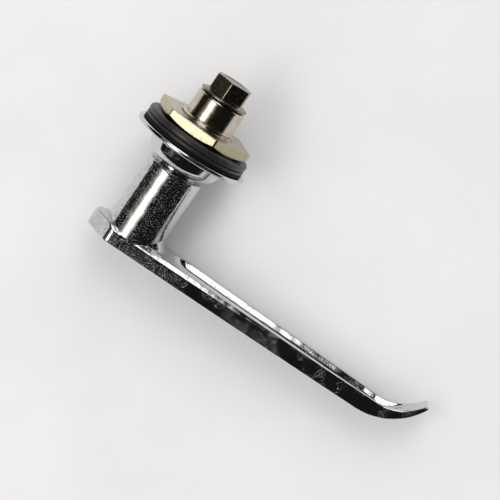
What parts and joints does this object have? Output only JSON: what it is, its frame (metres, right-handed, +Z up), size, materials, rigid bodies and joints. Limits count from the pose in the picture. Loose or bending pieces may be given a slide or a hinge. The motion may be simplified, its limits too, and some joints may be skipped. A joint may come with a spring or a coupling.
{
  "type": "door lever handle",
  "caption": "Quarter-turn L-shaped lever handle on a round escutcheon, with threaded bushing, seals, panel nut and cam bolt.",
  "frame": {"origin": "on the spindle axis, in the plane of the door's outer face, which is the door side of the outer gasket", "axes": "+Y along the spindle towards the inside of the door, +X along the lever at rest, +Z up"},
  "size_m": [0.1107, 0.0547, 0.0336],
  "materials": {
    "bright_chrome": "bright chrome on die-cast zinc",
    "nickel_plate": "bright warm nickel plate on turned steel",
    "zinc_steel": "clear zinc plate",
    "spring_steel": "oiled spring steel",
    "bronze": "sintered oil-filled bronze",
    "acetal": "natural acetal",
    "black_rubber": "moulded black rubber",
    "grey_rubber": "moulded dark grey rubber with a soft sheen",
    "yellow_zinc": "yellow chromated zinc plate",
    "olive_zinc": "dark olive chromated zinc plate"
  },
  "bodies": {
    "escutcheon_body": {"escutcheon": "bright_chrome", "threaded_bushing": "nickel_plate", "outer_bush": "bronze", "inner_bush": "bronze", "thrust_washer": "acetal", "spring_washer": "spring_steel", "outer_gasket": "black_rubber"},
    "lever": {"lever_handle": "bright_chrome", "drive_spindle": "zinc_steel", "neck_o_ring": "black_rubber", "retainer_washer": "zinc_steel", "snap_ring": "spring_steel", "cam_bolt": "olive_zinc"},
    "washer_stack": {"inner_seal": "grey_rubber", "clamp_washer": "grey_rubber"},
    "nut": {"panel_nut": "yellow_zinc"}
  },
  "joints": [
    {"name": "lever_turn", "type": "hinge", "parent": "escutcheon_body", "child": "lever", "pos_m": [0, 0, 0], "axis": [0, 1, 0], "range_deg": [0, 90]},
    {"name": "washer_slide", "type": "slide", "parent": "escutcheon_body", "child": "washer_stack", "axis": [0, 1, 0], "range_m": [0, 0.002]},
    {"name": "nut_turn", "type": "hinge", "parent": "washer_stack", "child": "nut", "pos_m": [0, 0, 0], "axis": [0, 1, 0], "range_deg": [0, 511]}
  ],
  "couplings": [
    {"joint": "nut_turn", "follows": "washer_slide", "rad_per_m": 4452.6}
  ]
}
